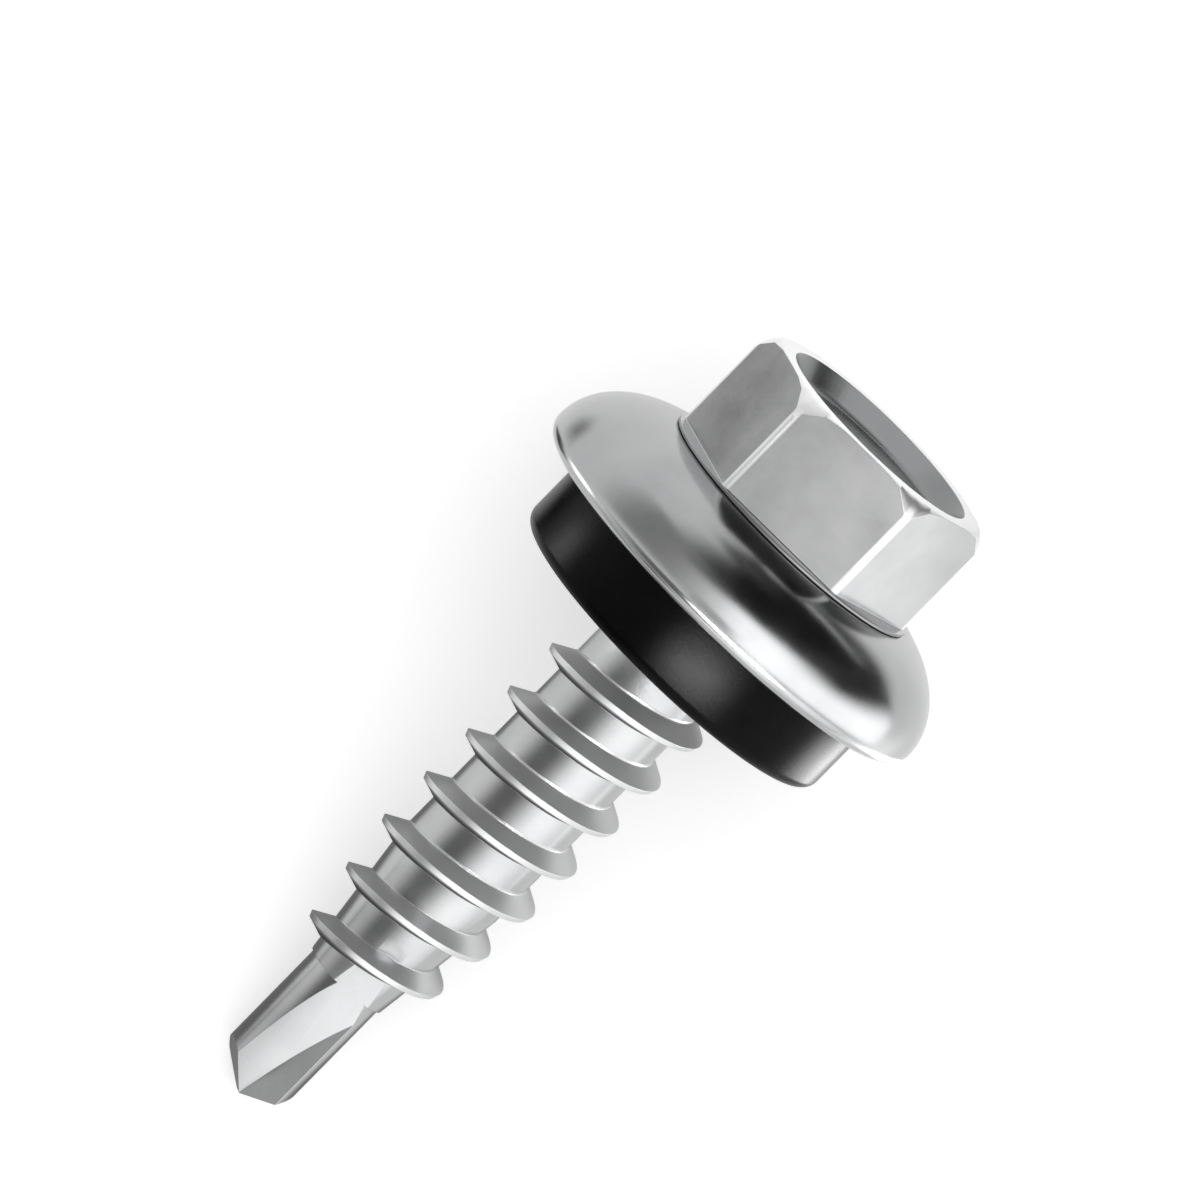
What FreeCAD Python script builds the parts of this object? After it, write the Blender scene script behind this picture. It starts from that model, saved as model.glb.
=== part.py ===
import FreeCAD, Part
import math
import os
from FreeCAD import Placement, Rotation, Vector

# A self drilling screw with a bonded sealing washer, lying on its side.
# It is built upright about the Z axis, with the face under its head at
# z = 0, the head above and the point below, and laid down at the end.
# All sizes are in millimetres, all angles in degrees.

# Hexagon head
across_flats = 8.0
head_height = 3.85
hex_edge_radius = 0.3
crown_start_radius = 4.08
crown_end_radius = 4.64
crown_depth = 1.3
recess_mouth_radius = 3.53
recess_floor_radius = 3.12
recess_depth = 0.75

# Narrow collar forged at the foot of the hexagon
collar_radius = 4.72
collar_edge = 0.1
flare_height = 0.42
flare_root_radius = 3.9

# Shank, its tapered end and the drill below it
shank_radius = 2.0
taper_start = 15.05
taper_end = 19.55
taper_end_radius = 1.43
drill_radius = 1.345
tip_drop = 24.45

# Rolled thread, right hand, with a crest too narrow to have a flat
pitch = 1.84
thread_depth = 0.7
thread_half_angle = 30.0
thread_start = 6.07
thread_start_angle = 144.0
thread_turns = 7.25
run_in = 0.35
run_out = 0.3
thread_sink = 0.2
points_a_turn = 16

# Drill point: two flutes, each between a flat cutting face and a hollow
# floor, and two ground flanks that meet in the chisel edge
web_half = 0.12
cutting_face_angle = -29.0
flute_radius = 4.1
flute_floor_half = 0.23
flute_floor_angle = -60.0
flute_lean = 17.8
flute_lean_angle = -114.0
lip_half_angle = 62.0
relief_angle = 36.0

# Dished steel washer
washer_radius = 7.4
washer_sheet = 0.95
washer_drop = 2.5
washer_flat_radius = 4.15

# Rubber seal bonded into the dish
seal_radius = 5.95
seal_bottom = 5.45
seal_edge_radius = 0.4
seal_mouth_radius = 2.95
seal_mouth_depth = 0.6

# Clearances between the screw and the washer that turns on it
bore_clearance = 0.08
seat_clearance = 0.02

# How the screw lies: turned about its axis so that both edges of the lower
# flute touch the surface
lie_roll = 5.5

# Round stretches of an outline are turned as this many straight bands
crown_band_count = 3
dish_band_count = 5
edge_band_count = 2

# Cutting tools reach this far past what they cut
past = 1.0
mesh_step = 0.01
angle_step = 0.000001


def rounded(start, corner, end, bands):
    """Points along a quarter ellipse, tangent to both sides of its corner."""
    centre = (start[0] + end[0] - corner[0], start[1] + end[1] - corner[1])
    points = []
    for step in range(bands + 1):
        turn = math.radians(90 * step / bands)
        points.append(tuple(centre[side] + (start[side] - centre[side]) * math.cos(turn)
                            + (end[side] - centre[side]) * math.sin(turn)
                            for side in (0, 1)))
    return points


def turned(points):
    """Solid turned about Z from an outline with radius as x and height as y."""
    flat = [Vector(point[0], point[1], 0) for point in points]
    face = Part.Face(Part.makePolygon(flat + flat[:1]))
    solid = face.revolve(Vector(0, 0, 0), Vector(0, 1, 0), 360)
    solid.rotate(Vector(0, 0, 0), Vector(1, 0, 0), 90)
    return solid


def polar(radius, angle, height):
    turn = math.radians(angle)
    return Vector(radius * math.cos(turn), radius * math.sin(turn), height)


def core_radius(drop):
    """Radius of the shank at a distance below the face under the head."""
    if drop <= taper_start:
        return shank_radius
    share = (drop - taper_start) / (taper_end - taper_start)
    return shank_radius + (taper_end_radius - shank_radius) * share


def make_hexagon():
    corner_radius = across_flats / 2 / math.cos(math.radians(30))
    corners = [polar(corner_radius, 60 * step, 0) for step in range(7)]
    prism = Part.Face(Part.makePolygon(corners)).extrude(Vector(0, 0, head_height))
    upright = [edge for edge in prism.Edges if edge.BoundBox.ZLength > head_height / 2]
    prism = prism.makeFillet(hex_edge_radius, upright)
    crown_start = (crown_start_radius, head_height)
    crown_end = (crown_end_radius, head_height - crown_depth)
    crown = turned([(crown_end_radius, 0), (0, 0), (0, head_height)]
                   + rounded(crown_start, (crown_end_radius, head_height), crown_end,
                             crown_band_count))
    return prism.common(crown)


def make_collar():
    foot = (collar_radius, collar_edge)
    root = (flare_root_radius, collar_edge + flare_height)
    return turned([(0, 0), (collar_radius, 0), foot, root, (0, root[1])])


def make_head():
    slope = (recess_mouth_radius - recess_floor_radius) / recess_depth
    recess = Part.makeCone(recess_floor_radius, recess_mouth_radius + slope * past,
                           recess_depth + past, Vector(0, 0, head_height - recess_depth))
    return make_hexagon().fuse(make_collar()).cut(recess)


def make_flute_cutter():
    """Leaning round cutter, stopped at the flat cutting face of one lip."""
    axis_distance = flute_radius + flute_floor_half
    foot = polar(axis_distance, flute_floor_angle, -tip_drop)
    up = polar(math.sin(math.radians(flute_lean)), flute_lean_angle,
               math.cos(math.radians(flute_lean)))
    length = tip_drop - thread_start + past
    cutter = Part.makeCylinder(flute_radius, length, foot - up * past, up)
    size = 2 * (axis_distance + flute_radius + length)
    side = Part.makeBox(size, size, size, Vector(-size / 2, -size - web_half, -size / 2))
    side.rotate(Vector(0, 0, 0), Vector(0, 0, 1), cutting_face_angle)
    return cutter.common(side)


def make_flank_cutter():
    """Half space outside one ground flank, which rises behind its lip."""
    size = 4 * tip_drop
    block = Part.makeBox(size, size, size, Vector(-size / 2, -size / 2, -size))
    lip_rise = 1 / math.tan(math.radians(lip_half_angle))
    relief_rise = math.tan(math.radians(relief_angle))
    normal = Vector(-lip_rise, -relief_rise, 1)
    block.Placement = Placement(Vector(0, 0, 0), Rotation(Vector(0, 0, 1), normal))
    block.translate(Vector(0, -web_half, -tip_drop))
    block.rotate(Vector(0, 0, 0), Vector(0, 0, 1), cutting_face_angle)
    return block


def make_core():
    core = turned([(0, collar_edge), (shank_radius, collar_edge),
                   (shank_radius, -taper_start), (taper_end_radius, -taper_end),
                   (drill_radius, -taper_end), (drill_radius, -tip_drop - past),
                   (0, -tip_drop - past)])
    for cutter in (make_flute_cutter(), make_flank_cutter()):
        core = core.cut(cutter)
        cutter.rotate(Vector(0, 0, 0), Vector(0, 0, 1), 180)
        core = core.cut(cutter)
    return core


def thread_curves(first, last):
    """Crest and the two feet of the thread from one count of turns to another."""
    crest, upper_foot, lower_foot = [], [], []
    steps = math.ceil((last - first) * points_a_turn)
    turns = [first + (last - first) * step / steps for step in range(steps + 1)]
    spread = math.tan(math.radians(thread_half_angle))
    for turn in turns:
        drop = thread_start + pitch * turn
        angle = thread_start_angle - 360 * turn
        height = thread_depth * min(1, turn / run_in, (thread_turns - turn) / run_out)
        foot_radius = core_radius(drop) - thread_sink
        half_width = (height + thread_sink) * spread
        crest.append(polar(core_radius(drop) + height, angle, -drop))
        upper_foot.append(polar(foot_radius, angle, -drop + half_width))
        lower_foot.append(polar(foot_radius, angle, -drop - half_width))
    curves = []
    for points in (crest, upper_foot, lower_foot):
        curve = Part.BSplineCurve()
        curve.interpolate(Points=points, Parameters=turns)
        curves.append(curve.toShape())
    return curves


def thread_piece(first, last):
    crest, upper_foot, lower_foot = thread_curves(first, last)
    faces = [Part.makeRuledSurface(crest, upper_foot),
             Part.makeRuledSurface(upper_foot, lower_foot),
             Part.makeRuledSurface(lower_foot, crest)]
    for end in (0, -1):
        corners = [curve.Vertexes[end].Point for curve in (crest, upper_foot, lower_foot)]
        faces.append(Part.Face(Part.makePolygon(corners + corners[:1])))
    shell = Part.makeShell(faces)
    shell.sewShape()
    return Part.makeSolid(shell)


def make_thread():
    """Pieces of thread end to end: its run in, whole turns at most, its run out."""
    full_turns = thread_turns - run_in - run_out
    count = math.ceil(full_turns)
    ends = [0] + [run_in + full_turns * step / count for step in range(count + 1)]
    ends.append(thread_turns)
    return [thread_piece(first, last) for first, last in zip(ends, ends[1:])]


def make_screw():
    return make_head().fuse(make_core()).fuse(make_thread()).Solids[0]


def dish(inset):
    """Outline of the dish from its flat to its rim, a distance inside its top."""
    start = (washer_flat_radius, -seat_clearance - inset)
    end = (washer_radius - inset, -seat_clearance - washer_drop)
    return rounded(start, (end[0], start[1]), end, dish_band_count)


def make_washer():
    top = dish(0)
    under = dish(washer_sheet)
    bore = shank_radius + bore_clearance
    roll = washer_sheet / 2
    bottom = (washer_radius - roll, top[-1][1] - roll)
    rim = (rounded(top[-1], (washer_radius, bottom[1]), bottom, edge_band_count)
           + rounded(bottom, (under[-1][0], bottom[1]), under[-1], edge_band_count)[1:])
    return turned([(bore, top[0][1])] + top + rim[1:-1] + under[::-1]
                  + [(bore, under[0][1])])


def make_seal():
    under = dish(washer_sheet)
    bore = shank_radius + bore_clearance
    bottom = -seal_bottom
    dish_room = turned([(0, under[0][1])] + under
                       + [(under[-1][0], bottom - past), (0, bottom - past)])
    edge = rounded((seal_radius, bottom + seal_edge_radius), (seal_radius, bottom),
                   (seal_radius - seal_edge_radius, bottom), edge_band_count)
    ring = turned([(bore, past), (seal_radius, past)] + edge
                  + [(seal_mouth_radius, bottom), (bore, bottom + seal_mouth_depth)])
    return ring.common(dish_room).Solids[0]


def lying(angle):
    """Rotation that lays the screw along X, its head raised by an angle."""
    roll = Rotation(Vector(0, 0, 1), -90 - lie_roll)
    return Rotation(Vector(0, 1, 0), 90 - angle).multiply(roll)


def lowest(points, rotation):
    return min(rotation.multVec(point).z for point in points)


def rest_angle(screw_points, washer_points):
    """Angle at which the washer's rim and the point touch one level surface."""
    low, high = 0.0, 60.0
    while high - low > angle_step:
        middle = (low + high) / 2
        turn = lying(middle)
        if lowest(washer_points, turn) < lowest(screw_points, turn):
            low = middle
        else:
            high = middle
    return (low + high) / 2


def rest_placement(screw, washer):
    """Placement that lays the part down with its box centred on the origin."""
    screw_points = screw.tessellate(mesh_step)[0]
    washer_points = washer.tessellate(mesh_step)[0]
    angle = rest_angle(screw_points, washer_points)
    turn = lying(angle)
    points = [turn.multVec(point) for point in screw_points + washer_points]
    middle = [(min(values) + max(values)) / 2
              for values in ([point.x for point in points], [point.y for point in points])]
    floor = min(point.z for point in points)
    return angle, Placement(Vector(-middle[0], -middle[1], -floor), turn)


def main():
    parts = {"screw": make_screw(), "steel_washer": make_washer(),
             "rubber_seal": make_seal()}
    angle, rest = rest_placement(parts["screw"], parts["steel_washer"])
    os.makedirs("parts", exist_ok=True)
    for name, shape in parts.items():
        shape.Placement = rest.multiply(shape.Placement)
        shape.exportStep(os.path.join("parts", name + ".step"))
        print(name, shape.ShapeType, len(shape.Solids), "solid", round(shape.Volume, 3),
              "mm3", "valid" if shape.isValid() else "not valid")
    print("lies at", round(angle, 4), "degrees")
    for label, drop in (("face under the head", 0), ("seal underside", seal_bottom),
                        ("middle of the thread", (thread_start + taper_end) / 2),
                        ("middle of the hexagon", -head_height / 2)):
        place = rest.multVec(Vector(0, 0, -drop))
        print(label, [round(value, 4) for value in place])
    print("axis to the head", [round(value, 6) for value in
                               rest.Rotation.multVec(Vector(0, 0, 1))])


main()
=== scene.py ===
import math
import bmesh
import bpy
from mathutils import Matrix, Vector


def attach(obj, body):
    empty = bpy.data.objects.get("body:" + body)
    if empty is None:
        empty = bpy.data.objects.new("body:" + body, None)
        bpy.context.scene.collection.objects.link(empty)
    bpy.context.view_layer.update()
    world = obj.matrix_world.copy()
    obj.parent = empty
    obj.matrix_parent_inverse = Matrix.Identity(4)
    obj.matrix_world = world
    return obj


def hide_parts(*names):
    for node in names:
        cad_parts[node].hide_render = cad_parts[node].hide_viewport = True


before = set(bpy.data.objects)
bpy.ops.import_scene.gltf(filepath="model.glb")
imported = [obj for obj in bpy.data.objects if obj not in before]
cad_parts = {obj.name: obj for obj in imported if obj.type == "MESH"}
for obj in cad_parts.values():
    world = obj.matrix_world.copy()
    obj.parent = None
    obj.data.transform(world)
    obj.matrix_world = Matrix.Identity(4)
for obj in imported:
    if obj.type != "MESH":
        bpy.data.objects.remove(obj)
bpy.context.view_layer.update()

# Sizes are in millimetres in the screw's own frame: the face under the head
# at z = 0, the head above and the point below. REST lays them down as the
# CAD lies, in metres.
MM = 0.001
LIE_ROLL = 5.5
LIE_ANGLE = 17.1363
SEAT = Vector((9.2314, -0.0003, 7.8138)) * MM
REST = (Matrix.Translation(SEAT)
        @ Matrix.Rotation(math.radians(90 - LIE_ANGLE), 4, "Y")
        @ Matrix.Rotation(math.radians(-90 - LIE_ROLL), 4, "Z")
        @ Matrix.Scale(MM, 4))

# Hexagon head and the ledge at its foot
ACROSS_FLATS = 8.0
HEAD_HEIGHT = 3.85
HEX_EDGE = 0.17
CROWN_START = 4.05
CROWN_END = 4.64
CROWN_DEPTH = 1.3
RECESS_MOUTH = 3.53
RECESS_FLOOR = 3.12
RECESS_DEPTH = 0.75
RECESS_CORNER = 0.22
LEDGE_RADIUS = 4.72
LEDGE_HEIGHT = 0.07
LEDGE_ROUND = 0.03
LEDGE_LIP = 0.04
LEDGE_FILLET = 0.03
LEDGE_ROOM = 0.7

# Shank, thread and drill point
SHANK_RADIUS = 2.0
SHANK_SINK = 0.1
TAPER_START = 15.05
TAPER_END = 19.55
TAPER_END_RADIUS = 1.43
DRILL_RADIUS = 1.345
TIP_DROP = 24.45
PITCH = 1.84
THREAD_DEPTH = 0.7
THREAD_HALF_ANGLE = 30.0
THREAD_START = 6.07
THREAD_START_ANGLE = 144.0
THREAD_TURNS = 7.25
RUN_IN = 0.35
RUN_OUT = 0.3
RUN_LEAST = 0.001
THREAD_SINK = 0.2
CREST_BACK = 0.01
CREST_FRONT = -0.18
CREST_LEAN = 0.07
ROOT_FILLET = 0.06
ROOT_FILLET_OUT = 0.8
ROOT_FILLET_ALONG = 0.46
WEB_HALF = 0.12
CUTTING_FACE_ANGLE = -29.0
FLUTE_RADIUS = 4.1
FLUTE_FLOOR_HALF = 0.23
FLUTE_FLOOR_ANGLE = -60.0
FLUTE_LEAN = 17.8
FLUTE_LEAN_ANGLE = -114.0
LIP_HALF_ANGLE = 62.0
RELIEF_ANGLE = 36.0

# How far cutters reach past what they cut
PAST = 1.0

# Washer and seal
WASHER_RADIUS = 7.378
WASHER_SHEET = 0.95
WASHER_DROP = 2.5
WASHER_FLAT = 4.15
SEAL_RADIUS = 5.95
SEAL_BOTTOM = 5.45
SEAL_EDGE = 0.4
SEAL_MOUTH = 2.95
SEAL_MOUTH_DEPTH = 0.6
BORE_CLEARANCE = 0.08
SEAT_CLEARANCE = 0.02

# How finely the shapes are divided
TURN_STEPS = 256
FLUTE_STEPS = 720
THREAD_STEPS = 96
TAPER_STEPS = 6
HEX_EDGE_STEPS = 6
HEX_FACE_SHARES = (0.02, 0.15, 0.3, 0.4, 0.45, 0.5, 0.55, 0.6, 0.7, 0.85, 0.98)
LEDGE_STEPS = 5
LEDGE_FILLET_STEPS = 6
CROWN_STEPS = 12
RECESS_STEPS = 8
ROOT_FILLET_STEPS = 5
CREST_STEPS = 4
FLANK_STEPS = 5
DISH_STEPS = 40
UNDER_DISH_STEPS = 24
EDGE_STEPS = 12
PANEL_STEPS = 24
MERGE_DISTANCE = 0.00001
SHARP_ANGLE = 28.0


def arc(start, corner, end, steps):
    """Points along a quarter ellipse, tangent to both sides of its corner."""
    centre = (start[0] + end[0] - corner[0], start[1] + end[1] - corner[1])
    points = []
    for step in range(steps + 1):
        turn = math.radians(90 * step / steps)
        points.append(tuple(centre[side] + (start[side] - centre[side]) * math.cos(turn)
                            + (end[side] - centre[side]) * math.sin(turn)
                            for side in (0, 1)))
    return points


def polar(radius, angle, height):
    turn = math.radians(angle)
    return Vector((radius * math.cos(turn), radius * math.sin(turn), height))


def add_object(name, points, faces):
    mesh = bpy.data.meshes.new(name)
    mesh.from_pydata([tuple(point) for point in points], [], faces)
    mesh.validate()
    obj = bpy.data.objects.new(name, mesh)
    bpy.context.scene.collection.objects.link(obj)
    return obj


def face_outwards(obj, merge=True):
    shape = bmesh.new()
    shape.from_mesh(obj.data)
    if merge:
        bmesh.ops.remove_doubles(shape, verts=shape.verts, dist=MERGE_DISTANCE)
    bmesh.ops.recalc_face_normals(shape, faces=shape.faces)
    shape.to_mesh(obj.data)
    shape.free()
    return obj


def lathe(name, outline, steps=TURN_STEPS):
    """Closed solid turned about Z. An outline that starts and ends on the axis
    is closed there, any other is closed as a ring."""
    on_axis = outline[0][0] == 0 and outline[-1][0] == 0
    points, rings = [], []
    for radius, height in outline:
        if radius == 0:
            rings.append([len(points)] * steps)
            points.append((0, 0, height))
        else:
            rings.append([len(points) + step for step in range(steps)])
            points += [polar(radius, 360 * step / steps, height) for step in range(steps)]
    faces = []
    pairs = list(zip(rings, rings[1:]))
    if not on_axis:
        pairs.append((rings[-1], rings[0]))
    for first, second in pairs:
        for step in range(steps):
            after = (step + 1) % steps
            corners = [first[step], first[after], second[after], second[step]]
            loop = [corner for place, corner in enumerate(corners)
                    if corner not in corners[:place]]
            if len(loop) > 2:
                faces.append(loop)
    return face_outwards(add_object(name, points, faces))


def combine(obj, other, operation):
    """One exact boolean step. The other object is used up."""
    step = obj.modifiers.new("step", "BOOLEAN")
    step.operation = operation
    step.solver = "EXACT"
    step.object = other
    bpy.context.view_layer.update()
    made = bpy.data.meshes.new_from_object(
        obj.evaluated_get(bpy.context.evaluated_depsgraph_get()))
    obj.modifiers.clear()
    obj.data = made
    bpy.data.objects.remove(other)
    return obj


def moved(obj, matrix):
    obj.data.transform(matrix)
    return obj


def hexagon_reach():
    """Distance from the axis to the centre of each rounded edge."""
    return (ACROSS_FLATS / 2 - HEX_EDGE) / math.cos(math.radians(30))


def hexagon_outline():
    """Points round the hexagon: an arc at each edge, then shares of the flat."""
    reach = hexagon_reach()
    points = []
    for side in range(6):
        middle = 60 * side
        centre = polar(reach, middle, 0)
        points += [centre + polar(HEX_EDGE, middle - 30 + 60 * step / HEX_EDGE_STEPS, 0)
                   for step in range(HEX_EDGE_STEPS + 1)]
        start = points[-1]
        end = polar(reach, middle + 60, 0) + polar(HEX_EDGE, middle + 30, 0)
        points += [start.lerp(end, share) for share in HEX_FACE_SHARES]
    return points


def ledge_outline():
    """The low flat ledge at the hexagon's foot, from its underside to its top."""
    inner = LEDGE_RADIUS - LEDGE_ROUND
    lower = arc((inner, -LEDGE_LIP), (LEDGE_RADIUS, -LEDGE_LIP),
                (LEDGE_RADIUS, LEDGE_ROUND - LEDGE_LIP), LEDGE_STEPS)
    upper = arc((LEDGE_RADIUS, LEDGE_ROUND), (LEDGE_RADIUS, LEDGE_HEIGHT),
                (inner, LEDGE_HEIGHT), LEDGE_STEPS)
    return [(WASHER_FLAT, 0)] + lower + upper[1:]


def foot_outline(radius):
    """Fillet between the ledge and the hexagon. It takes a share of the ledge's
    room where the ledge is narrow."""
    fillet = min(LEDGE_FILLET, LEDGE_ROOM * (LEDGE_RADIUS - LEDGE_ROUND - radius))
    return arc((radius + fillet, LEDGE_HEIGHT), (radius, LEDGE_HEIGHT),
               (radius, LEDGE_HEIGHT + LEDGE_FILLET), LEDGE_FILLET_STEPS)


def crown_outline(radius):
    """The top from the hexagon's side to the hollow, trimmed round at the corners."""
    points = []
    for step in range(CROWN_STEPS + 1):
        inward = radius + (RECESS_MOUTH - radius) * step / CROWN_STEPS
        past = max(0, inward - CROWN_START) / (CROWN_END - CROWN_START)
        points.append((inward, HEAD_HEIGHT - CROWN_DEPTH * (1 - math.sqrt(1 - past * past))))
    return points


def recess_outline():
    """Wall, rounded corner and floor of the hollow in the top."""
    floor = HEAD_HEIGHT - RECESS_DEPTH
    slope = (RECESS_MOUTH - RECESS_FLOOR) / RECESS_DEPTH
    return arc((RECESS_FLOOR + slope * RECESS_CORNER, floor + RECESS_CORNER),
               (RECESS_FLOOR, floor), (RECESS_FLOOR - RECESS_CORNER, floor), RECESS_STEPS)


def make_head():
    """Ledge, hexagon, trimmed crown and hollow as one skin round the axis."""
    points, rows = [], []
    for place in hexagon_outline():
        radius = math.hypot(place.x, place.y)
        angle = math.degrees(math.atan2(place.y, place.x))
        outline = (ledge_outline() + foot_outline(radius) + crown_outline(radius)
                   + recess_outline())
        rows.append([len(points) + index for index in range(len(outline))])
        points += [polar(out, angle, height) for out, height in outline]
    faces = []
    for first, second in zip(rows, rows[1:] + rows[:1]):
        faces += [(first[index], second[index], second[index + 1], first[index + 1])
                  for index in range(len(first) - 1)]
    faces.append([row[0] for row in rows][::-1])
    faces.append([row[-1] for row in rows])
    return face_outwards(add_object("head", points, faces))


def half_space(name, size):
    half = size / 2
    points = [(x, y, z) for z in (-half, half) for y in (-half, half) for x in (-half, half)]
    faces = [(0, 2, 3, 1), (4, 5, 7, 6), (0, 1, 5, 4), (2, 6, 7, 3), (0, 4, 6, 2),
             (1, 3, 7, 5)]
    return add_object(name, points, faces)


def make_flute_cutter():
    """Leaning round cutter, stopped at the flat cutting face of one lip."""
    distance = FLUTE_RADIUS + FLUTE_FLOOR_HALF
    foot = polar(distance, FLUTE_FLOOR_ANGLE, -TIP_DROP)
    up = polar(math.sin(math.radians(FLUTE_LEAN)), FLUTE_LEAN_ANGLE,
               math.cos(math.radians(FLUTE_LEAN)))
    length = TIP_DROP - THREAD_START + PAST
    cutter = lathe("flute", [(0, 0), (FLUTE_RADIUS, 0), (FLUTE_RADIUS, length), (0, length)],
                   FLUTE_STEPS)
    moved(cutter, Matrix.Translation(foot - up * PAST)
          @ up.to_track_quat("Z", "Y").to_matrix().to_4x4())
    size = 2 * (distance + FLUTE_RADIUS + length)
    side = half_space("side", size)
    moved(side, Matrix.Rotation(math.radians(CUTTING_FACE_ANGLE), 4, "Z")
          @ Matrix.Translation((0, -size / 2 - WEB_HALF, 0)))
    return combine(cutter, side, "INTERSECT")


def make_flank_cutter():
    """Half space outside one ground flank, which rises behind its lip."""
    size = 4 * TIP_DROP
    lip_rise = 1 / math.tan(math.radians(LIP_HALF_ANGLE))
    relief_rise = math.tan(math.radians(RELIEF_ANGLE))
    normal = Vector((-lip_rise, -relief_rise, 1)).normalized()
    block = half_space("flank", size)
    turn = Vector((0, 0, 1)).rotation_difference(normal).to_matrix().to_4x4()
    moved(block, Matrix.Rotation(math.radians(CUTTING_FACE_ANGLE), 4, "Z")
          @ Matrix.Translation((0, -WEB_HALF, -TIP_DROP)) @ turn
          @ Matrix.Translation((0, 0, -size / 2)))
    return block


def make_core():
    """Shank and tapered end as one turned piece, with the drill point cut into it."""
    taper = [(SHANK_RADIUS + (TAPER_END_RADIUS - SHANK_RADIUS) * step / TAPER_STEPS,
              -TAPER_START - (TAPER_END - TAPER_START) * step / TAPER_STEPS)
             for step in range(TAPER_STEPS + 1)]
    core = lathe("core", [(0, SHANK_SINK), (SHANK_RADIUS, SHANK_SINK)] + taper
                 + [(DRILL_RADIUS, -TAPER_END), (DRILL_RADIUS, -TIP_DROP - PAST),
                    (0, -TIP_DROP - PAST)])
    half_turn = Matrix.Rotation(math.pi, 4, "Z")
    for make_cutter in (make_flute_cutter, make_flank_cutter):
        combine(core, make_cutter(), "DIFFERENCE")
        combine(core, moved(make_cutter(), half_turn), "DIFFERENCE")
    return core


def core_radius(drop):
    if drop <= TAPER_START:
        return SHANK_RADIUS
    share = (drop - TAPER_START) / (TAPER_END - TAPER_START)
    return SHANK_RADIUS + (TAPER_END_RADIUS - SHANK_RADIUS) * share


def thread_section(height):
    """Outline of the thread from the head's side to the point's side: distance
    beyond the core, and place along the axis. The narrow crest leans to the point."""
    scale = height / THREAD_DEPTH
    foot = height * math.tan(math.radians(THREAD_HALF_ANGLE))
    fillet = ROOT_FILLET * scale
    upper = arc((0.0, foot + fillet), (0.0, foot),
                (fillet * ROOT_FILLET_OUT, foot - fillet * ROOT_FILLET_ALONG),
                ROOT_FILLET_STEPS)
    crest = []
    for step in range(CREST_STEPS + 1):
        share = step / CREST_STEPS
        crest.append((height - CREST_LEAN * scale * share,
                      (CREST_BACK + (CREST_FRONT - CREST_BACK) * share) * scale))
    out, along = crest[-1]
    lower = []
    for step in reversed(range(FLANK_STEPS)):
        share = step / FLANK_STEPS
        lower.append((out * share, along + (-foot - along) * (1 - share)))
    return ([(-THREAD_SINK, foot + 2 * fillet)] + upper + crest + lower
            + [(-THREAD_SINK, -foot)])


def make_thread():
    """The ridge as a swept strip that rises and falls away over its run in and run
    out. Its feet are sunk in the shank."""
    count = math.ceil(THREAD_TURNS * THREAD_STEPS)
    size = len(thread_section(THREAD_DEPTH))
    points = []
    for step in range(count + 1):
        turn = THREAD_TURNS * step / count
        drop = THREAD_START + PITCH * turn
        angle = THREAD_START_ANGLE - 360 * turn
        share = min(1, turn / RUN_IN, (THREAD_TURNS - turn) / RUN_OUT)
        points += [polar(core_radius(drop) + out, angle, along - drop)
                   for out, along in thread_section(THREAD_DEPTH * max(share, RUN_LEAST))]
    faces = []
    for step in range(count):
        for place in range(size):
            after = (place + 1) % size
            faces.append((step * size + place, step * size + after,
                          (step + 1) * size + after, (step + 1) * size + place))
    faces.append(tuple(range(size))[::-1])
    faces.append(tuple(range(count * size, (count + 1) * size)))
    return face_outwards(add_object("thread", points, faces), False)


# Marks on the screw's mesh, which its material reads by their names: how dark the
# painted shade on the ledge's rim is, how much darker the painted shade makes each
# point below the crest, how far past its arc an edge gets rubbed wear and a painted
# highlight, and how far up a face of the crown or hollow looks
RIM_SHADE_LEVEL = 0.5
ROOT_SHADE_STEP = 0.38
EDGE_MARK_SPREAD = 1.02
UPWARD = 0.1


def add_mark(mesh, name, domain, values):
    """One number for each point or face."""
    mark = mesh.attributes.new(name, "FLOAT", domain)
    for index, value in enumerate(values):
        mark.data[index].value = value


def mark_thread(mesh, start):
    """Marks the duller rolled flanks, the crest, which gets a painted highlight, and the
    painted shade in the creases: the root on the side of the point and the rim of the ledge."""
    size = len(thread_section(THREAD_DEPTH))
    crest_end = size - FLANK_STEPS - 2
    crest_start = crest_end - CREST_STEPS
    root = []
    for index, vertex in enumerate(mesh.vertices):
        x, y, z = vertex.co
        if index < start:
            rim = math.hypot(x, y) > LEDGE_RADIUS - LEDGE_ROUND / 2 and z < LEDGE_HEIGHT
            root.append(RIM_SHADE_LEVEL * rim)
        else:
            below_crest = max(0, (index - start) % size - crest_end)
            root.append(min(1, ROOT_SHADE_STEP * below_crest))
    flank, crest = [], []
    for face in mesh.polygons:
        places = [(corner - start) % size for corner in face.vertices]
        low, high, turned = min(places), max(places), min(face.vertices) >= start
        flank.append(turned and (high <= crest_start or low >= crest_end))
        crest.append(turned and low >= crest_start and high <= crest_end)
    add_mark(mesh, "root", "POINT", root)
    add_mark(mesh, "flank", "FACE", flank)
    add_mark(mesh, "crest", "FACE", crest)


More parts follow.
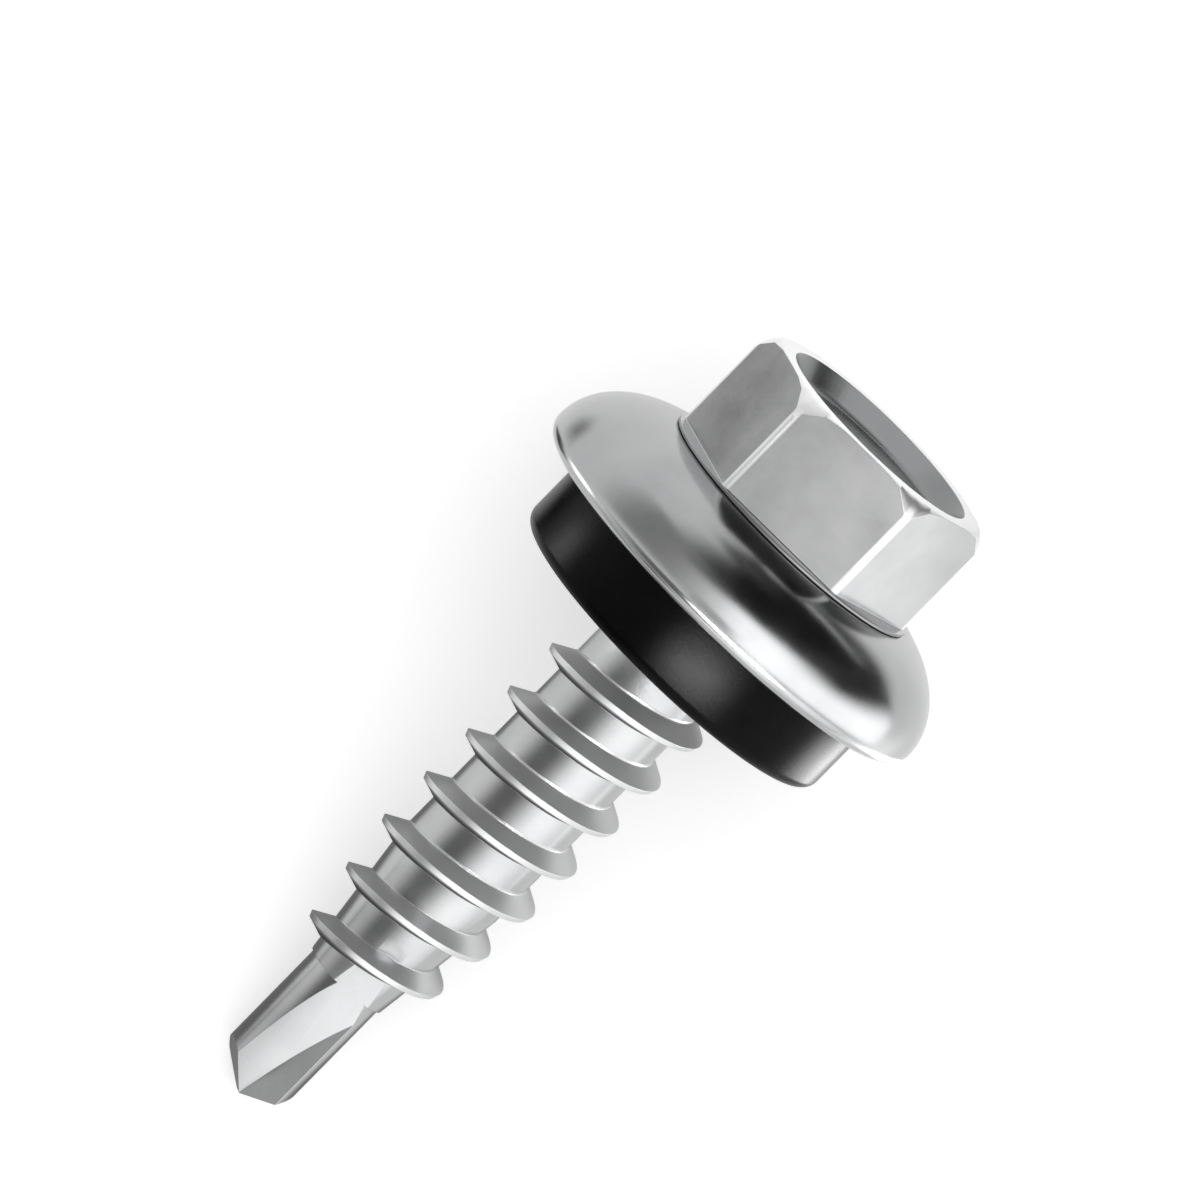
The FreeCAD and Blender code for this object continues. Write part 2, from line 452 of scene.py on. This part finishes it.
def mark_head(mesh):
    """Marks the edges of the head, which get rubbed wear and a painted highlight, the trimmed
    crown, which gets a painted highlight, and the hollow, which gets painted shade.
    """
    reach = hexagon_reach()
    half = math.degrees(math.atan2(HEX_EDGE / 2, reach)) * EDGE_MARK_SPREAD
    edge = []
    for vertex in mesh.vertices:
        x, y, z = vertex.co
        turn = (math.degrees(math.atan2(y, x)) + 30) % 60 - 30
        edge.append(abs(turn) < half and z > LEDGE_HEIGHT + LEDGE_FILLET / 2
                    and math.hypot(x, y) > reach)
    crown, hollow = [], []
    for face in mesh.polygons:
        radius = math.hypot(face.center.x, face.center.y)
        above = face.center.z > HEAD_HEIGHT - CROWN_DEPTH and face.normal.z > UPWARD
        crown.append(above and radius > RECESS_MOUTH)
        hollow.append(above and radius < RECESS_MOUTH)
    add_mark(mesh, "edge", "POINT", edge)
    add_mark(mesh, "crown", "FACE", crown)
    add_mark(mesh, "hollow", "FACE", hollow)


def make_screw():
    """Head, core and thread in one mesh. The thread's points come last."""
    parts = [make_head(), make_core(), make_thread()]
    thread_start = len(parts[0].data.vertices) + len(parts[1].data.vertices)
    shape = bmesh.new()
    for part in parts:
        shape.from_mesh(part.data)
        bpy.data.objects.remove(part)
    mesh = bpy.data.meshes.new("screw_visual")
    shape.to_mesh(mesh)
    shape.free()
    obj = bpy.data.objects.new("screw_visual", mesh)
    bpy.context.scene.collection.objects.link(obj)
    mark_thread(mesh, thread_start)
    mark_head(mesh)
    return obj


def dish(inset, steps):
    """Top of the pressed dish, or its underside when inset by the sheet."""
    start = (WASHER_FLAT, -SEAT_CLEARANCE - inset)
    end = (WASHER_RADIUS - inset, -SEAT_CLEARANCE - WASHER_DROP)
    return arc(start, (end[0], start[1]), end, steps)


def make_washer():
    """Pressed dish of even thickness with a rolled rim."""
    top = dish(0, DISH_STEPS)
    under = dish(WASHER_SHEET, UNDER_DISH_STEPS)
    bore = SHANK_RADIUS + BORE_CLEARANCE
    roll = WASHER_SHEET / 2
    bottom = (WASHER_RADIUS - roll, top[-1][1] - roll)
    rim = (arc(top[-1], (WASHER_RADIUS, bottom[1]), bottom, EDGE_STEPS)
           + arc(bottom, (under[-1][0], bottom[1]), under[-1], EDGE_STEPS)[1:])
    return lathe("steel_washer_visual", [(bore, top[0][1])] + top + rim[1:-1] + under[::-1]
                 + [(bore, under[0][1])])


def make_seal():
    """Rubber ring that fills the dish from below, with a widened mouth."""
    under = dish(WASHER_SHEET, UNDER_DISH_STEPS)
    bore = SHANK_RADIUS + BORE_CLEARANCE
    bottom = -SEAL_BOTTOM
    inside = [point for point in under if point[0] < SEAL_RADIUS]
    first, second = inside[-1], under[len(inside)]
    share = (SEAL_RADIUS - first[0]) / (second[0] - first[0])
    top_corner = (SEAL_RADIUS, first[1] + (second[1] - first[1]) * share)
    outline = ([(bore, under[0][1])] + inside + [top_corner]
               + arc((SEAL_RADIUS, bottom + SEAL_EDGE), (SEAL_RADIUS, bottom),
                     (SEAL_RADIUS - SEAL_EDGE, bottom), EDGE_STEPS)
               + [(SEAL_MOUTH, bottom), (bore, bottom + SEAL_MOUTH_DEPTH)])
    return lathe("rubber_seal_visual", outline)


def settle(obj, material, body, node):
    """Lays a finished piece down where its CAD node lies and hands it over."""
    mesh = obj.data
    place = mesh.attributes.new("place", "FLOAT_VECTOR", "POINT")
    for index, vertex in enumerate(mesh.vertices):
        place.data[index].vector = vertex.co
    mesh.transform(REST)
    mesh.shade_smooth()
    mesh.set_sharp_from_angle(angle=math.radians(SHARP_ANGLE))
    mesh.materials.clear()
    mesh.materials.append(material)
    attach(obj, body)
    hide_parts(node)


class Nodes:
    """Short calls for building the nodes of one material or of the world."""

    def __init__(self, owner, output="ShaderNodeOutputMaterial"):
        owner.use_nodes = True
        self.tree = owner.node_tree
        self.tree.nodes.clear()
        self.output = self.add(output)

    def add(self, kind, **settings):
        node = self.tree.nodes.new(kind)
        for key, value in settings.items():
            setattr(node, key, value)
        return node

    def link(self, source, target):
        self.tree.links.new(source, target)

    def show(self, shader):
        self.link(shader, self.output.inputs["Surface"])

    def attribute(self, name, output="Fac"):
        return self.add("ShaderNodeAttribute", attribute_name=name).outputs[output]

    def noise(self, vector, scale, detail, roughness):
        node = self.add("ShaderNodeTexNoise")
        node.inputs["Scale"].default_value = scale
        node.inputs["Detail"].default_value = detail
        node.inputs["Roughness"].default_value = roughness
        self.link(vector, node.inputs["Vector"])
        return node.outputs["Fac"]

    def span(self, value, low, high, to_low, to_high):
        node = self.add("ShaderNodeMapRange")
        for key, number in (("From Min", low), ("From Max", high), ("To Min", to_low),
                            ("To Max", to_high)):
            node.inputs[key].default_value = number
        self.link(value, node.inputs["Value"])
        return node.outputs["Result"]

    def math(self, operation, first, second):
        node = self.add("ShaderNodeMath", operation=operation)
        for socket, value in zip(node.inputs, (first, second)):
            if isinstance(value, (int, float)):
                socket.default_value = value
            else:
                self.link(value, socket)
        return node.outputs[0]

    def weigh(self, first, second, shares):
        """Sum of two values, each times its share."""
        return self.math("ADD", self.math("MULTIPLY", first, shares[0]),
                         self.math("MULTIPLY", second, shares[1]))

    def ramp(self, value, places, colours):
        """Blend from the first colour to the second between two places."""
        node = self.add("ShaderNodeValToRGB")
        for element, place, colour in zip(node.color_ramp.elements, places, colours):
            element.position = place
            element.color = (*colour, 1)
        self.link(value, node.inputs["Fac"])
        return node.outputs["Color"]

    def tint(self, colour, over, share):
        node = self.add("ShaderNodeMix", data_type="RGBA")
        self.link(share, node.inputs[0])
        self.link(colour, node.inputs[6])
        node.inputs[7].default_value = (*over, 1)
        return node.outputs[2]

    def stretch(self, vector, scale):
        node = self.add("ShaderNodeMapping")
        node.inputs["Scale"].default_value = scale
        self.link(vector, node.inputs["Vector"])
        return node.outputs["Vector"]

    def bump(self, height, strength, depth):
        node = self.add("ShaderNodeBump")
        node.inputs["Strength"].default_value = strength
        node.inputs["Distance"].default_value = depth * MM
        self.link(height, node.inputs["Height"])
        return node


# Colours of the two platings from dark to light, and their roughness
SCREW_PLATING = ((0.42, 0.423, 0.427), (0.50, 0.503, 0.507), (0.16, 0.22))
WASHER_PLATING = ((0.38, 0.383, 0.387), (0.44, 0.443, 0.447), (0.15, 0.24))
# Painted highlight on the crest and crown, and rubbed wear together with a painted highlight on
# the edges
WEAR_AND_PAINTED_HIGHLIGHT = (0.93, 0.93, 0.935)
# Painted shade in the hollow of the top
HOLLOW_PAINTED_SHADE = (0.16, 0.162, 0.165)
FLANK_GREY = (0.57, 0.573, 0.577)
# Painted shade in the crease at the root of the thread and at the ledge's rim
CREASE_PAINTED_SHADE = (0.03, 0.03, 0.031)

# Marks on the screw in the order in which they are laid over each other: name,
# colour, its share, and added roughness
SCREW_MARKS = (
    ("edge", WEAR_AND_PAINTED_HIGHLIGHT, 0.85, 0.35),
    ("crest", WEAR_AND_PAINTED_HIGHLIGHT, 0.4, 0.12),
    ("crown", WEAR_AND_PAINTED_HIGHLIGHT, 1.0, 0.3),
    ("hollow", HOLLOW_PAINTED_SHADE, 0.75, 0.08),
    ("flank", FLANK_GREY, 0.5, 0.22),
    ("root", CREASE_PAINTED_SHADE, 0.9, 0.3),
)
FLANK_METAL = 0.78

# Noises of the plating: scale in turns per millimetre, detail and roughness.
# Each pair of shares says how two noises are added up.
CLOUD = (0.55, 4, 0.5)
GRAIN = (16.0, 3, 0.6)
HAIR = (2.2, 6, 0.7)
HAIR_STRETCH = (0.9, 0.9, 14.0)
COLOUR_SHARES = (0.8, 0.2)
COLOUR_RAMP = (0.32, 0.68)
ROUGH_SHARES = (0.6, 0.4)
ROUGH_RAMP = (0.35, 0.65)
RELIEF_SHARES = (0.6, 1.0)
RELIEF_STRENGTH = 0.05
RELIEF_DEPTH = 0.02
BEVEL_RADIUS = 0.03
BEVEL_SAMPLES = 6


def make_steel(name, plating, marked):
    """Bright zinc plated steel: clouded plating, fine grain and hair scratches.
    On the screw the marks change it: edges get rubbed wear and a painted highlight,
    crest and crown get a painted highlight, the hollow and the root get painted shade,
    and the flanks are duller."""
    dark, light, rough_limits = plating
    material = bpy.data.materials.new(name)
    nodes = Nodes(material)
    place = nodes.attribute("place", "Vector")
    cloud = nodes.noise(place, *CLOUD)
    grain = nodes.noise(place, *GRAIN)
    hair = nodes.noise(nodes.stretch(place, HAIR_STRETCH), *HAIR)
    colour = nodes.ramp(nodes.weigh(cloud, grain, COLOUR_SHARES), COLOUR_RAMP, (dark, light))
    rough = nodes.span(nodes.weigh(cloud, grain, ROUGH_SHARES), *ROUGH_RAMP, *rough_limits)
    shader = nodes.add("ShaderNodeBsdfPrincipled")
    shader.inputs["Metallic"].default_value = 1.0
    if marked:
        for mark_name, tint, share, added in SCREW_MARKS:
            mark = nodes.attribute(mark_name)
            colour = nodes.tint(colour, tint, nodes.math("MULTIPLY", mark, share))
            rough = nodes.math("ADD", rough, nodes.math("MULTIPLY", mark, added))
        nodes.link(nodes.span(nodes.attribute("flank"), 0, 1, 1.0, FLANK_METAL),
                   shader.inputs["Metallic"])
    nodes.link(colour, shader.inputs["Base Color"])
    nodes.link(rough, shader.inputs["Roughness"])
    bevel = nodes.add("ShaderNodeBevel", samples=BEVEL_SAMPLES)
    bevel.inputs["Radius"].default_value = BEVEL_RADIUS * MM
    bump = nodes.bump(nodes.weigh(grain, hair, RELIEF_SHARES), RELIEF_STRENGTH, RELIEF_DEPTH)
    nodes.link(bevel.outputs["Normal"], bump.inputs["Normal"])
    nodes.link(bump.outputs["Normal"], shader.inputs["Normal"])
    nodes.show(shader.outputs["BSDF"])
    return material


# Black rubber: its noises, colours, roughness, shine and relief
BLOOM = (0.9, 5, 0.6)
MOULD_GRAIN = (11.0, 4, 0.6)
RUBBER_BLACK = (0.0007, 0.0007, 0.0008)
RUBBER_GREY = (0.0024, 0.0024, 0.0026)
RUBBER_RAMP = (0.35, 0.75)
RUBBER_ROUGH_SHARES = (0.5, 0.5)
RUBBER_ROUGH_RAMP = (0.3, 0.7)
RUBBER_ROUGH = (0.2, 0.3)
RUBBER_IOR = 1.5
RUBBER_SHINE = 0.06
RUBBER_RELIEF_STRENGTH = 0.12
RUBBER_RELIEF_DEPTH = 0.03


def make_rubber():
    """Black moulded rubber with a faint bloom and a fine moulded grain."""
    material = bpy.data.materials.new("seal_rubber")
    nodes = Nodes(material)
    place = nodes.attribute("place", "Vector")
    bloom = nodes.noise(place, *BLOOM)
    grain = nodes.noise(place, *MOULD_GRAIN)
    colour = nodes.ramp(bloom, RUBBER_RAMP, (RUBBER_BLACK, RUBBER_GREY))
    rough = nodes.span(nodes.weigh(bloom, grain, RUBBER_ROUGH_SHARES), *RUBBER_ROUGH_RAMP,
                       *RUBBER_ROUGH)
    shader = nodes.add("ShaderNodeBsdfPrincipled")
    shader.inputs["IOR"].default_value = RUBBER_IOR
    shader.inputs["Specular IOR Level"].default_value = RUBBER_SHINE
    nodes.link(colour, shader.inputs["Base Color"])
    nodes.link(rough, shader.inputs["Roughness"])
    bump = nodes.bump(grain, RUBBER_RELIEF_STRENGTH, RUBBER_RELIEF_DEPTH)
    nodes.link(bump.outputs["Normal"], shader.inputs["Normal"])
    nodes.show(shader.outputs["BSDF"])
    return material


# Directions of the picture: the screw's axis, the side that faces the camera
# and the side to the right of the axis when the point is held down
HEAD_TILT = 10.0
AXIS = (REST.to_3x3() @ Vector((0, 0, 1))).normalized()
FACE = (REST.to_3x3() @ Vector((0, -1, 0))).normalized()
RIGHT = (REST.to_3x3() @ Vector((1, 0, 0))).normalized()
TO_CAMERA = (FACE * math.cos(math.radians(HEAD_TILT))
             + AXIS * math.sin(math.radians(HEAD_TILT)))
TIPWARD = -(AXIS * math.cos(math.radians(HEAD_TILT))
            - FACE * math.sin(math.radians(HEAD_TILT)))

# The photo's right-hand side in shares of RIGHT and TIPWARD, its middle from the
# head's seat in millimetres, and the camera's distance in metres
PHOTO_RIGHT = (0.714, -0.70)
PHOTO_MIDDLE = (-2.567, 5.66)
CAMERA_DISTANCE = 0.6033
CAMERA_LENS = 600.0
CAMERA_SENSOR = 36.0
CAMERA_CLIP = (0.05, 20.0)


def add_camera():
    """Long lens over the middle of the photo, the screw lying across it."""
    photo_right = (RIGHT * PHOTO_RIGHT[0] + TIPWARD * PHOTO_RIGHT[1]).normalized()
    photo_up = TO_CAMERA.cross(photo_right).normalized()
    middle = SEAT + (RIGHT * PHOTO_MIDDLE[0] + TIPWARD * PHOTO_MIDDLE[1]) * MM
    data = bpy.data.cameras.new("camera")
    data.sensor_width = CAMERA_SENSOR
    data.lens = CAMERA_LENS
    data.clip_start, data.clip_end = CAMERA_CLIP
    obj = bpy.data.objects.new("camera", data)
    bpy.context.scene.collection.objects.link(obj)
    turn = Matrix((photo_right, photo_up, TO_CAMERA)).transposed().to_4x4()
    obj.matrix_world = Matrix.Translation(middle + TO_CAMERA * CAMERA_DISTANCE) @ turn
    bpy.context.scene.camera = obj


# The white floor and world. The floor's glow is added for the rays that seen_by
# names and once more for the camera's, so that the background is white. The world
# has one level for lighting and one for those rays.
FLOOR_HALF = 1.5
FLOOR_WHITE = (0.9, 0.9, 0.9, 1)
FLOOR_GLOW = (0.3, 0.12)
WORLD_WHITE = (1, 1, 1, 1)
WORLD_LEVELS = (0.8, 1.0)


def seen_by(nodes, path):
    """One for rays of the camera, of reflections and through clear bodies."""
    direct = nodes.math("MAXIMUM", path.outputs["Is Camera Ray"], path.outputs["Is Glossy Ray"])
    return nodes.math("MAXIMUM", direct, path.outputs["Is Transmission Ray"])


def add_floor():
    half = FLOOR_HALF
    floor = add_object("floor", [(-half, -half, 0), (half, -half, 0), (half, half, 0),
                                 (-half, half, 0)], [(0, 1, 2, 3)])
    material = bpy.data.materials.new("floor_white")
    nodes = Nodes(material)
    cloth = nodes.add("ShaderNodeBsdfDiffuse")
    cloth.inputs["Color"].default_value = FLOOR_WHITE
    glow = nodes.add("ShaderNodeEmission")
    path = nodes.add("ShaderNodeLightPath")
    nodes.link(nodes.weigh(seen_by(nodes, path), path.outputs["Is Camera Ray"], FLOOR_GLOW),
               glow.inputs["Strength"])
    both = nodes.add("ShaderNodeAddShader")
    nodes.link(cloth.outputs["BSDF"], both.inputs[0])
    nodes.link(glow.outputs["Emission"], both.inputs[1])
    nodes.show(both.outputs["Shader"])
    floor.data.materials.append(material)


def add_world():
    world = bpy.data.worlds.new("studio")
    nodes = Nodes(world, "ShaderNodeOutputWorld")
    back = nodes.add("ShaderNodeBackground")
    back.inputs["Color"].default_value = WORLD_WHITE
    seen = seen_by(nodes, nodes.add("ShaderNodeLightPath"))
    nodes.link(nodes.span(seen, 0, 1, *WORLD_LEVELS), back.inputs["Strength"])
    nodes.show(back.outputs["Background"])
    bpy.context.scene.world = world


# The lamp: its direction in shares of RIGHT, FACE and AXIS, the place below the
# head that it looks at, its distance and size in metres, and its power
LAMP_DIRECTION = (0.6, 1.0, 0.3)
LAMP_AIM_DROP = 8
LAMP_DISTANCE = 0.4
LAMP_SIZE = 0.3
LAMP_POWER = 0.12


def add_lamp():
    """Soft square lamp that looks at the middle of the screw."""
    middle = SEAT - AXIS * LAMP_AIM_DROP * MM
    side, tall, axial = LAMP_DIRECTION
    away = (RIGHT * side + FACE * tall + AXIS * axial).normalized()
    place = middle + away * LAMP_DISTANCE
    data = bpy.data.lights.new("key", "AREA")
    data.shape = "SQUARE"
    data.size = LAMP_SIZE
    data.energy = LAMP_POWER
    obj = bpy.data.objects.new("key", data)
    bpy.context.scene.collection.objects.link(obj)
    obj.matrix_world = (Matrix.Translation(place)
                        @ (place - middle).to_track_quat("Z", "Y").to_matrix().to_4x4())
    obj.visible_glossy = False


# Studio panels, seen only as reflections. Angles around go from the side that
# faces the camera to the right, and drops are distances below the head. Fades are
# the shares of a panel over which it fades out at its two sides and two ends.
NO_FADE = 0.001
ALL_ROUND = (NO_FADE, NO_FADE)
EVEN = ((0.25, 0.25), (0.25, 0.25))

# Name, radius, angles around, angles from the axis, level, fades
BALLS = (
    ("dark_past_head", 80, (-70, 215), (0.5, 66), 0.01, ((0.22, 0.1), (0.01, 0.2))),
    ("dark_over_head", 78, (-180, 180), (0.5, 15), 0.05, (ALL_ROUND, (0.01, 0.6))),
)

# Name, radius, angles around, drops, level, fades
WALLS = (
    ("dark_right_past_head", 32, (30, 140), (-36, -4), 0.04, ((0.45, 0.2), (0.1, 0.4))),
    ("strip_by_head", 30, (-80, 0), (-30, 7), 0.38, ((0.38, 0.42), (0.15, 0.1))),
    ("strip_by_shank", 30, (-74, 24), (10.5, 36), 0.2, ((0.42, 0.42), (0.05, 0.12))),
    ("bright_by_head", 34, (-8, 128), (-26, 9), 2.35, ((0.18, 0.1), (0.36, 0.12))),
    ("grey_by_face", 33, (-14, 20), (-1, 8), 0.65, ((0.3, 0.45), (0.3, 0.3))),
    ("bright_by_shank", 34.6, (1, 116), (9.5, 36), 1.95, ((0.4, 0.5), (0.17, 0.12))),
    ("bright_by_point", 32, (-40, 118), (33, 84), 1.85, ((0.35, 0.5), (0.12, 0.3))),
    ("dark_left_of_point", 31.5, (-120, -6), (40, 86), 0.06, ((0.2, 0.4), (0.1, 0.2))),
    ("grey_by_point", 31, (-160, -34), (25, 48), 0.8, ((0.12, 0.3), (0.12, 0.2))),
    ("strip_by_seal", 12, (-10, 40), (4.5, 6.35), 42.0, ((0.45, 0.45), (0.6, 0.15))),
    ("strip_right_of_seal", 12, (86, 130), (4.2, 7.3), 9.0, ((0.3, 0.2), (0.3, 0.1))),
    ("strip_left_of_seal", 12, (-90, -62), (4.9, 7.3), 8.0, ((0.5, 0.5), (0.4, 0.1))),
    ("dark_left_of_seal", 12.2, (-152, -92), (3.9, 8), 0.01, ((0.1, 0.2), (0.15, 0.2))),
)

# Name, height over the floor, reach in x, reach in y, level, fades
MATS = (
    ("dark_left_of_head", 0.1, (5.5, 16.5), (12.5, 22.5), 0.27, ((0.45, 0.45), (0.4, 0.5))),
    ("grey_left_of_point", 0.05, (-30, -9), (-1, 34), 0.5, ((0.1, 0.3), (0.1, 0.4))),
    ("dark_under_shank", 0.1, (-19, 7), (-5, 7), 0.22, EVEN),
    ("bright_right_of_head", 0.1, (-14, 14), (-44, -13), 1.6, EVEN),
    ("dark_right_of_head", 0.1, (22, 64), (-46, -2), 0.05, ((0.3, 0.1), (0.2, 0.3))),
)

# Name, drop, inner and outer radius, level, fades at the inner and outer edge
RINGS = (
    ("grey_under_seal", 5.52, (2.1, 6.2), 0.35, (0.01, 0.3)),
    ("grey_over_hollow", -6.8, (0.1, 4.3), 1.3, (NO_FADE, 0.5)),
)


def between(limits, share):
    return limits[0] + (limits[1] - limits[0]) * share


def outwards(angle):
    """Direction away from the axis, at an angle from the camera's side."""
    turn = math.radians(angle)
    return FACE * math.cos(turn) + RIGHT * math.sin(turn)


def make_glow(name, level):
    """A flat level of light that fades to clear towards the panel's edges."""
    material = bpy.data.materials.new(name)
    nodes = Nodes(material)
    glow = nodes.add("ShaderNodeEmission")
    glow.inputs["Strength"].default_value = level
    clear = nodes.add("ShaderNodeBsdfTransparent")
    mix = nodes.add("ShaderNodeMixShader")
    nodes.link(nodes.attribute("fade"), mix.inputs["Fac"])
    nodes.link(clear.outputs["BSDF"], mix.inputs[1])
    nodes.link(glow.outputs["Emission"], mix.inputs[2])
    nodes.show(mix.outputs["Shader"])
    return material


def fade_at(shares, fades):
    """One inside a panel, falling smoothly to zero at its edges."""
    level = 1
    for share, (first, last) in zip(shares, fades):
        edge = min(1, share / first, (1 - share) / last)
        level *= edge * edge * (3 - 2 * edge)
    return level


def add_reflected(name, place, level, fades):
    """Panel seen only as a reflection. place gives its points from two shares
    between 0 and 1."""
    row_size = PANEL_STEPS + 1
    shares = [(column / PANEL_STEPS, row / PANEL_STEPS)
              for row in range(row_size) for column in range(row_size)]
    corners = (0, 1, row_size + 1, row_size)
    faces = [[row * row_size + column + corner for corner in corners]
             for row in range(PANEL_STEPS) for column in range(PANEL_STEPS)]
    panel = add_object(name, [place(*pair) for pair in shares], faces)
    add_mark(panel.data, "fade", "POINT", [fade_at(pair, fades) for pair in shares])
    panel.data.materials.append(make_glow(name, level))
    panel.visible_camera = False
    panel.visible_diffuse = False
    panel.visible_shadow = False


def add_ball(name, radius, around, from_axis, level, fades):
    """Part of a ball about the middle of the head's seat."""
    def place(across, along):
        tilt = math.radians(between(from_axis, along))
        out = outwards(between(around, across))
        return SEAT + (AXIS * math.cos(tilt) + out * math.sin(tilt)) * radius * MM

    add_reflected(name, place, level, fades)


def add_wall(name, radius, around, drops, level, fades):
    """Part of a tube about the screw's axis."""
    def place(across, along):
        return SEAT + (outwards(between(around, across)) * radius
                       - AXIS * between(drops, along)) * MM

    add_reflected(name, place, level, fades)


def add_mat(name, height, reach_x, reach_y, level, fades):
    """Mat just over the floor, beside or under the screw."""
    def place(across, along):
        return Vector((between(reach_x, across), between(reach_y, along), height)) * MM

    add_reflected(name, place, level, fades)


def add_ring(name, drop, radii, level, fades):
    """Ring about the screw's axis."""
    centre = SEAT - AXIS * drop * MM

    def place(across, along):
        return centre + outwards(360 * across) * between(radii, along) * MM

    add_reflected(name, place, level, (ALL_ROUND, fades))


def add_studio():
    add_lamp()
    for add_panel, panels in ((add_ball, BALLS), (add_wall, WALLS), (add_mat, MATS),
                              (add_ring, RINGS)):
        for panel in panels:
            add_panel(*panel)


def main():
    screw_steel = make_steel("plated_steel", SCREW_PLATING, True)
    washer_steel = make_steel("washer_steel", WASHER_PLATING, False)
    settle(make_screw(), screw_steel, "screw", "screw")
    settle(make_washer(), washer_steel, "sealing_washer", "steel_washer")
    settle(make_seal(), make_rubber(), "sealing_washer", "rubber_seal")
    add_camera()
    add_floor()
    add_world()
    add_studio()


main()
bpy.context.scene.view_settings.view_transform = "Standard"
